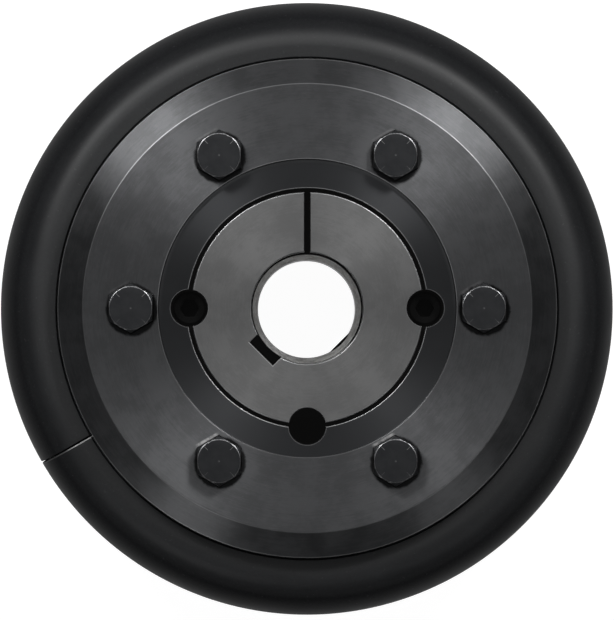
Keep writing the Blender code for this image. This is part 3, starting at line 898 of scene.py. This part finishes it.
def rubber_material():
    """Moulded rubber with a faint bloom, fine specks and a painted highlight on the edge below the cut."""
    graph = Graph("moulded_rubber")
    spot = graph.spot()
    bloom = graph.noise(spot.place, 30, 4, 0.6)
    fine = graph.noise(spot.place, 900, 3, 0.6)
    mould = graph.noise(graph.turning(spot, 3, 900), 1, 2)
    specks = graph.ramp(graph.noise(spot.place, 700, 2, 0.7), 0.66, 0.74)
    color = graph.mix(graph.ramp(bloom, 0.35, 0.7), RUBBER_DARK, RUBBER_LIGHT)
    color = graph.scale_color(color, graph.ramp(fine, 0.3, 0.7, 0.85, 1.15))
    color = graph.mix(graph.times(specks, 0.45), color, RUBBER_SPECK)
    graph.set("Base Color", graph.mix(cut_highlight(graph, spot), color, RUBBER_HIGHLIGHT))
    graph.set("Roughness", graph.plus(graph.ramp(bloom, 0.3, 0.75, 0.43, 0.50), graph.times(fine, 0.06)))
    graph.set("IOR", 1.5)
    graph.set("Specular IOR Level", graph.ramp(spot.radius, *RUBBER_SHEEN, 0.41, 0.01))
    height = graph.plus(graph.times(fine, 0.6), graph.times(mould, 0.4))
    graph.set("Normal", graph.bump(height, RUBBER_RELIEF, 0.7))
    return graph.material


def turned_metal(name, tone, rough, grain, aniso, regions=None):
    """Turned metal with short scratches along the turning direction, soft mottling and fine grooves.

    The function regions adds what is special to a piece. It returns the color, and where the surface
    is dull, painted black as shade, or a worn edge painted light as a highlight.
    """
    graph = Graph(name)
    spot = graph.spot()
    scratches = graph.noise(graph.turning(spot, 32, 4600), 1, 3, 0.65)
    bands = graph.noise(graph.turning(spot, 6, 1400), 1, 2, 0.5)
    mottle = graph.noise(spot.place, 90, 4, 0.6)
    specks = graph.ramp(graph.noise(spot.place, 2200, 2, 0.6), 0.68, 0.76)
    shade = graph.plus(graph.times(scratches, 0.8), graph.times(bands, 0.5), graph.times(mottle, 1.5))
    color = graph.scale_color(tone, graph.ramp(shade, 1.12, 1.68, 1.0 - grain, 1.0 + grain))
    color = graph.mix(graph.times(specks, 0.16), color, METAL_SPECK)
    change = graph.times(graph.minus(scratches, 0.5), 0.12)
    worn = graph.times(graph.minus(mottle, 0.5), 0.12)
    roughness = graph.math("ADD", graph.plus(change, worn), rough, clamp=True)
    metallic = 1.0
    if regions:
        color, dull, black, edge = regions(graph, color, spot)
        metallic = graph.minus(1.0, graph.most(dull, black))
        roughness = graph.blend(edge, roughness, EDGE_ROUGHNESS)
        aniso = graph.blend(edge, aniso, 0.0)
        graph.set("Specular IOR Level", graph.times(metallic, 0.5))
    graph.set("Base Color", color)
    graph.set("Metallic", metallic)
    graph.set("Roughness", roughness)
    graph.set("Anisotropic", aniso)
    graph.set("Anisotropic Rotation", 0.25)
    graph.set("Tangent", graph.add("ShaderNodeTangent", direction_type="RADIAL", axis="Z").outputs[0])
    relief = graph.plus(scratches, graph.times(bands, 0.5))
    graph.set("Normal", graph.bump(relief, METAL_RELIEF, 0.3))
    return graph.material


def hole_reach(graph, spot):
    """How far a point lies from the nearest of the three holes beside the bush."""
    nearest = 1.0
    for angle in SCREW_HOLES:
        reach = graph.reach(spot.x, spot.y, polar(SCREW_CIRCLE, angle))
        nearest = graph.math("MINIMUM", nearest, reach)
    return nearest


def hub_face(graph, color, spot):
    """The hub face, darker than the flange, with painted light at its step's foot in the upper half that
    lifts the step's shadow.
    """
    hub = graph.fall(spot.radius, HUB_RADIUS - FACE_ROUND, HUB_RADIUS)
    color = graph.mix(graph.times(hub, graph.ramp(spot.z, *HUB_FACE_RISE)), color, HUB_COLOR)
    # painted light that lifts the step's shadow at its foot, more towards the top
    upper = graph.ramp(spot.y, *HUB_FOOT_UPPER, 0.0, 0.45)
    foot = graph.times(graph.ramp(spot.radius, *HUB_FOOT), hub, upper)
    return graph.mix(foot, color, HUB_FOOT_FILL_LIGHT)


def bolt_seats(graph, color, spot):
    """Painted shadow with a ragged, grimy edge round the bolt heads, and a painted glare at the upper left
    of each.
    """
    ragged = graph.times(graph.minus(graph.noise(spot.place, 420, 3, 0.7), 0.5), BOLT_SHADOW_RAGGED)
    shadow_and_grime, glare = 0.0, 0.0
    for centre in bolt_places():
        reach = graph.reach(spot.x, spot.y, centre + Vector(BOLT_SHADOW_SHIFT))
        shadow_and_grime = graph.most(shadow_and_grime, graph.fall(graph.plus(reach, ragged), *BOLT_SHADOW))
        right, up = graph.minus(spot.x, centre.x), graph.minus(spot.y, centre.y)
        out, side = graph.facing(right, up, BOLT_GLARE_ANGLE)
        patch = graph.band(out, *BOLT_GLARE, BOLT_GLARE_SOFT)
        glare = graph.most(glare, graph.times(patch, graph.fall(graph.size(side), *BOLT_GLARE_SIDE)))
    outer_face = graph.ramp(spot.z, *OUTER_FACE)
    # painted shadow round each bolt head, reaching furthest below and to the right of it
    color = graph.mix(graph.times(shadow_and_grime, outer_face, 0.9), color, BLACK)
    patchy = graph.ramp(graph.noise(spot.place, 500, 2, 0.6), 0.35, 0.6, 0.35, 1.0)
    # painted glare beside the heads, strongest on the lower bolts
    lower = graph.ramp(spot.y, *BOLT_GLARE_LOWER, 1.0, 0.2)
    return graph.mix(graph.times(glare, outer_face, lower, patchy), color, BOLT_GLARE_COLOR)


def flange_edges(graph, spot, reach):
    """The worn edges, painted light as highlights: hub face's step, brighter towards the top, rim, bevel's
    line, bore's mouth and half-holes.
    """
    # painted highlight along the step's edge, stronger towards the top
    step = graph.times(
        graph.band(spot.radius, *STEP_EDGE), graph.ramp(spot.z, *STEP_RISE),
        graph.ramp(spot.y, *STEP_UPPER, 0.22, 0.6),
    )
    rim = graph.times(graph.ramp(spot.radius, *RIM_EDGE), graph.ramp(spot.z, *RIM_RISE), 0.4)
    line = graph.times(graph.band(spot.radius, *BEVEL_EDGE), 0.3)
    top = graph.ramp(spot.z, *HUB_TOP)
    lip = graph.times(graph.band(spot.radius, MOUTH_RADIUS, MOUTH_RADIUS + LIP_EDGE), top)
    cup = graph.times(
        graph.band(reach, SCREW_HOLE, SCREW_HOLE + CUP_EDGE), top,
        graph.ramp(spot.radius, MOUTH_RADIUS - MASK_STEP, MOUTH_RADIUS),
    )
    return graph.most(step, rim, line, lip, cup)


def flange_regions(graph, color, spot):
    """Hub face, bolt seats, painted shade in the black insides, worn edges painted light as highlights, and
    the rear bore's chamfer painted light.
    """
    color = hub_face(graph, color, spot)
    color = bolt_seats(graph, color, spot)
    reach = hole_reach(graph, spot)
    # painted shade: black in the holes, the bore's mouth and the hub's low end
    mouth = graph.times(graph.fall(spot.radius, *MOUTH_BLACK), graph.ramp(spot.radius, *SEAT_START))
    inside = graph.times(graph.most(graph.fall(reach, *HOLE_BLACK), mouth), graph.fall(spot.z, *HUB_BELOW))
    ring = graph.fall(spot.radius, *CHAMFER_REACH)
    painted_shade = graph.most(inside, graph.times(graph.fall(spot.z, *HUB_END), graph.minus(1.0, ring)))
    color = graph.mix(painted_shade, color, BLACK)
    edge = flange_edges(graph, spot, reach)
    color = graph.mix(edge, color, EDGE_WEAR_HIGHLIGHT)

    # painted light and glow on the rear bore's chamfer, and a faint painted glow in the painted shade
    chamfer = graph.times(ring, graph.fall(spot.z, *CHAMFER_TOP))
    grooves = graph.noise(graph.turning(spot, 5, 1800), 1, 2)
    pores = graph.ramp(graph.noise(spot.place, 700, 3, 0.7), 0.35, 0.65, 0.85, 1.05)
    pores = graph.times(pores, graph.ramp(grooves, 0.35, 0.65, 0.8, 1.1))
    color = graph.mix(chamfer, color, graph.scale_color(CHAMFER_PAINTED_LIGHT, pores))
    graph.set("Emission Color", CHAMFER_PAINTED_LIGHT)
    glow = graph.times(chamfer, pores, CHAMFER_GLOW)
    graph.set("Emission Strength", graph.plus(glow, graph.times(painted_shade, BLACK_VEIL)))
    return color, chamfer, painted_shade, edge


def bush_regions(graph, color, spot):
    """Painted shade, black, below the bush's face in its keyway, split, holes, outer side and upper bore,
    with worn edges painted light as highlights.
    """
    along, across = graph.facing(spot.x, spot.y, KEYWAY_ANGLE)
    floor = graph.plus(along, KEYWAY_WIDTH / 2 - FRONT_BORE - KEYWAY_DEPTH)
    slot = graph.minus(graph.most(graph.size(across), floor), KEYWAY_WIDTH / 2)
    ahead = graph.ramp(along, *AHEAD)
    outside_bore = graph.ramp(spot.radius, *OUTSIDE_BORE)
    keyway = graph.times(graph.fall(slot, *SLOT_BLACK), ahead, outside_bore)
    gap = graph.minus(graph.size(spot.x), BUSH_SPLIT / 2)
    split = graph.times(graph.fall(gap, *SLOT_BLACK), graph.ramp(spot.y, *AHEAD))
    reach = hole_reach(graph, spot)
    holes = graph.fall(reach, *HOLE_BLACK)
    # painted shade on the bush's outer side, in the gap to the hub, and high on its bore wall
    side = graph.ramp(spot.radius, *BUSH_SIDE)
    wall = graph.times(graph.fall(spot.radius, *BORE_WALL), graph.fall(spot.z, *BORE_DEEP))
    wall = graph.times(wall, graph.ramp(spot.y, *BORE_UPPER))
    black = graph.times(graph.most(keyway, split, holes, side, wall), graph.fall(spot.z, *BUSH_BELOW))
    color = graph.mix(black, color, BLACK)
    # faint painted glow in the painted shade
    graph.set("Emission Color", WHITE)
    graph.set("Emission Strength", graph.times(black, BLACK_VEIL))

    top = graph.ramp(spot.z, *BUSH_TOP)
    # worn edges of the bush, painted light as highlights
    rings = graph.most(graph.band(spot.radius, *BUSH_RIM_EDGE), graph.band(spot.radius, *BORE_EDGE))
    edge = graph.times(graph.most(rings, graph.band(reach, *HOLE_EDGE, HOLE_EDGE_SOFT)), top)
    color = graph.mix(edge, color, EDGE_WEAR_HIGHLIGHT)
    # burrs along the keyway, painted light as highlights
    sides = graph.minus(graph.most(across, floor), KEYWAY_WIDTH / 2)
    burr_highlight = graph.times(graph.band(sides, *BURR_HIGHLIGHT, BURR_HIGHLIGHT_SOFT), graph.fall(slot, *BURR_HIGHLIGHT_END))
    burr_highlight = graph.times(burr_highlight, ahead, top, outside_bore)
    return graph.mix(burr_highlight, color, BURR_HIGHLIGHT_COLOR), burr_highlight, black, edge


def hexagon_reach(graph, spot):
    """Half the width across flats of the hexagon through a point."""
    flat = graph.size(spot.x)
    for angle in (60, 120):
        along = graph.facing(spot.x, spot.y, math.radians(angle))[0]
        flat = graph.most(flat, graph.size(along))
    return flat


def black_steel_material():
    """Black oxide steel with plain strokes and a dot on the bolt heads, worn edges round their tops, and
    painted shade on their sides.
    """
    graph = Graph("black_oxide_steel")
    spot = graph.spot()
    grain = graph.noise(spot.place, 1500, 3, 0.6)
    cloud = graph.noise(spot.place, 160, 3, 0.6)
    color = graph.mix(graph.ramp(cloud, 0.3, 0.7), BOLT_DARK, BOLT_LIGHT)
    slant = graph.size(graph.minus(graph.size(spot.x), graph.size(spot.y)))
    ray = graph.times(graph.fall(slant, *STROKE_HALF), graph.band(spot.radius, *STROKE, STROKE_SOFT))
    patchy = graph.ramp(graph.noise(spot.place, 420, 1), 0.42, 0.55, 0.25, 1.0)
    marks = graph.most(ray, graph.fall(spot.radius, *DOT))
    marks = graph.times(marks, patchy, graph.ramp(spot.z, *MARK_RISE))
    ring = graph.band(spot.radius, *BOLT_RING, BOLT_RING_SOFT)
    rim = graph.ramp(hexagon_reach(graph, spot), *BOLT_RIM)
    nicks = graph.ramp(graph.noise(spot.place, 900, 2, 0.6), 0.4, 0.6, 0.45, 1.0)
    worn = graph.times(graph.most(ring, rim), graph.ramp(spot.z, *BOLT_HIGH), nicks)
    upwards = graph.parts(graph.add("ShaderNodeTexCoord").outputs["Normal"])[2]
    # painted shade: the heads' steep sides are painted black
    side = graph.times(graph.fall(upwards, 0.3, 0.5), graph.fall(spot.z, *BOLT_SIDE))
    color = graph.mix(graph.times(marks, 0.8), color, BOLT_MARK)
    color = graph.mix(worn, color, BOLT_EDGE_COLOR)
    graph.set("Base Color", graph.mix(side, color, BLACK))
    graph.set("Metallic", 1.0)
    graph.set("Roughness", graph.blend(worn, graph.ramp(cloud, 0.3, 0.75, 0.42, 0.5), EDGE_ROUGHNESS))
    soft = graph.add("ShaderNodeBevel", {"Radius": BOLT_SOFT_EDGE}, samples=6)
    height = graph.plus(graph.times(marks, 2.0), grain)
    graph.set("Normal", graph.bump(height, BOLT_RELIEF, 0.4, soft.outputs[0]))
    return graph.material


def sunk_screw_material():
    """The black, oily screws deep in their holes, painted near black as the shade there, with a faint
    painted glow.
    """
    graph = Graph("painted_shade_screw")
    shadow_and_grime = graph.noise(graph.spot().place, 300, 3)
    graph.set("Base Color", graph.mix(shadow_and_grime, BLACK, SCREW_SHADOW_GRIME))
    graph.set("Roughness", graph.ramp(shadow_and_grime, 0.3, 0.7, 0.7, 0.85))
    graph.set("Specular IOR Level", 0.03)
    # faint painted glow
    graph.set("Emission Color", WHITE)
    graph.set("Emission Strength", 0.6 * BLACK_VEIL)
    return graph.material


# Stage


def floor_material():
    """A pale floor that shows white to the camera, gives soft reflections and keeps the part's shadow."""
    graph = Graph("studio_floor")
    links = graph.tree.links
    spot = graph.spot()
    grain = graph.mix(graph.noise(spot.place, 90, 2), FLOOR_DARK, FLOOR_LIGHT)
    diffuse = graph.add("ShaderNodeBsdfDiffuse", {"Color": grain}).outputs[0]
    glow = graph.add("ShaderNodeEmission", {"Color": WHITE, "Strength": FLOOR_WHITE}).outputs[0]
    both = graph.add("ShaderNodeAddShader")
    links.new(diffuse, both.inputs[0])
    links.new(glow, both.inputs[1])
    path = graph.add("ShaderNodeLightPath").outputs
    mirrored = graph.times(path["Is Glossy Ray"], graph.fall(spot.radius, *FLOOR_MIRRORED))
    mix = graph.add("ShaderNodeMixShader")
    graph.put(mix.inputs[0], graph.most(path["Is Camera Ray"], path["Is Transmission Ray"], mirrored))
    links.new(diffuse, mix.inputs[1])
    links.new(both.outputs[0], mix.inputs[2])
    links.new(mix.outputs[0], graph.tree.nodes["Material Output"].inputs["Surface"])
    graph.tree.nodes.remove(graph.shader)
    return graph.material


def build_stage():
    """A round floor that sweeps up into a low wall."""
    flat = STAGE_REACH - STAGE_BEND
    profile = [(STAGE_STEP * step, 0.0) for step in range(1, int(flat / STAGE_STEP) + 1)]
    for step in range(STAGE_BEND_STEPS + 1):
        angle = math.pi / 2 * step / STAGE_BEND_STEPS
        profile.append((flat + STAGE_BEND * math.sin(angle), STAGE_BEND * (1 - math.cos(angle))))
    profile.append((STAGE_REACH, STAGE_WALL))
    shape = bmesh.new()
    centre = shape.verts.new((0, 0, FLOOR_HEIGHT))
    rings = [
        [
            shape.verts.new(polar(radius, 2 * math.pi * side / STAGE_SIDES, FLOOR_HEIGHT + up))
            for side in range(STAGE_SIDES)
        ]
        for radius, up in profile
    ]
    for side in range(STAGE_SIDES):
        after = (side + 1) % STAGE_SIDES
        shape.faces.new((centre, rings[0][side], rings[0][after]))
        for low, high in zip(rings, rings[1:]):
            shape.faces.new((low[side], high[side], high[after], low[after]))
    for face in shape.faces:
        face.smooth = True
    floor = new_object("studio_floor", shape)
    floor.data.materials.append(floor_material())


def add_lamp(name, azimuth, elevation, distance, size, power):
    """A rectangular lamp that faces the part's middle."""
    data = bpy.data.lights.new(name, "AREA")
    data.shape = "RECTANGLE"
    data.size, data.size_y = size
    data.energy = power
    lamp = bpy.data.objects.new(name, data)
    up = math.radians(elevation)
    lamp.location = polar(distance * math.cos(up), math.radians(azimuth), distance * math.sin(up))
    lamp.rotation_mode = "QUATERNION"
    lamp.rotation_quaternion = lamp.location.to_track_quat("Z", "Y")
    bpy.context.scene.collection.objects.link(lamp)


def add_lights():
    world = bpy.data.worlds.new("studio")
    world.use_nodes = True
    background = world.node_tree.nodes["Background"]
    background.inputs["Color"].default_value = WORLD_COLOR
    background.inputs["Strength"].default_value = WORLD_STRENGTH
    bpy.context.scene.world = world
    for lamp in LAMPS:
        add_lamp(*lamp)


def add_camera():
    data = bpy.data.cameras.new("camera")
    data.sensor_width = CAMERA_SENSOR
    data.lens = CAMERA_LENS
    data.clip_start, data.clip_end = CAMERA_CLIP
    camera = bpy.data.objects.new("camera", data)
    camera.location = CAMERA_PLACE
    back = (Vector(CAMERA_PLACE) - Vector(CAMERA_AIM)).normalized()
    right = Vector((0, 1, 0)).cross(back).normalized()
    camera.rotation_euler = Matrix((right, back.cross(right), back)).transposed().to_euler()
    bpy.context.scene.collection.objects.link(camera)
    bpy.context.scene.camera = camera


def build_bolts(material):
    head = head_mesh(material)
    for side, place in (("front", FRONT), ("rear", REAR)):
        for index, centre in enumerate(bolt_places()):
            seat = place @ Matrix.Translation(centre + Vector((0, 0, BOLT_SEAT)))
            name = f"{side}_bolt_{index + 1}"
            copy_piece(head, f"{name}_hexagon", name, seat)
    bpy.data.objects.remove(head)


def build_grub_screws():
    grub = socket_screw("grub_screw", GRUB_RADIUS, GRUB_LENGTH, GRUB_SOCKET, GRUB_CUP)
    grub.data.materials.append(sunk_screw_material())
    for index, angle in enumerate(GRUB_ANGLES):
        seat = Matrix.Translation(polar(SCREW_CIRCLE, angle, GRUB_LOW))
        name = f"front_grub_screw_{index + 1}"
        copy_piece(grub, f"{name}_socket", name, seat)
    bpy.data.objects.remove(grub)


def main():
    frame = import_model()
    bpy.context.scene.view_settings.view_transform = "Standard"
    add_camera()
    add_lights()
    build_stage()

    rubber = rubber_material()
    flange = turned_metal("turned_flange", FLANGE_TONE, 0.36, 0.13, 0.85, flange_regions)
    bush = turned_metal("ground_bush", BUSH_TONE, 0.42, 0.09, 0.5, bush_regions)
    ring = turned_metal("turned_ring", RING_TONE, 0.45, 0.15, 0.5)
    black = black_steel_material()

    build_tyre(rubber)
    build_flange("front", FRONT, taper_bore(), screw_hole_cutters(HUB_FACE), flange)
    build_flange("rear", REAR, plain_bore(), set_screw_hole_cutter(), flange)
    build_bush(bush)
    build_set_screw(black)
    build_bolts(black)
    build_grub_screws()
    for name in ("front_clamp_ring", "rear_clamp_ring"):
        node = frame["nodes"][name]
        node.data.materials.clear()
        node.data.materials.append(ring)

    bpy.context.view_layer.update()


main()
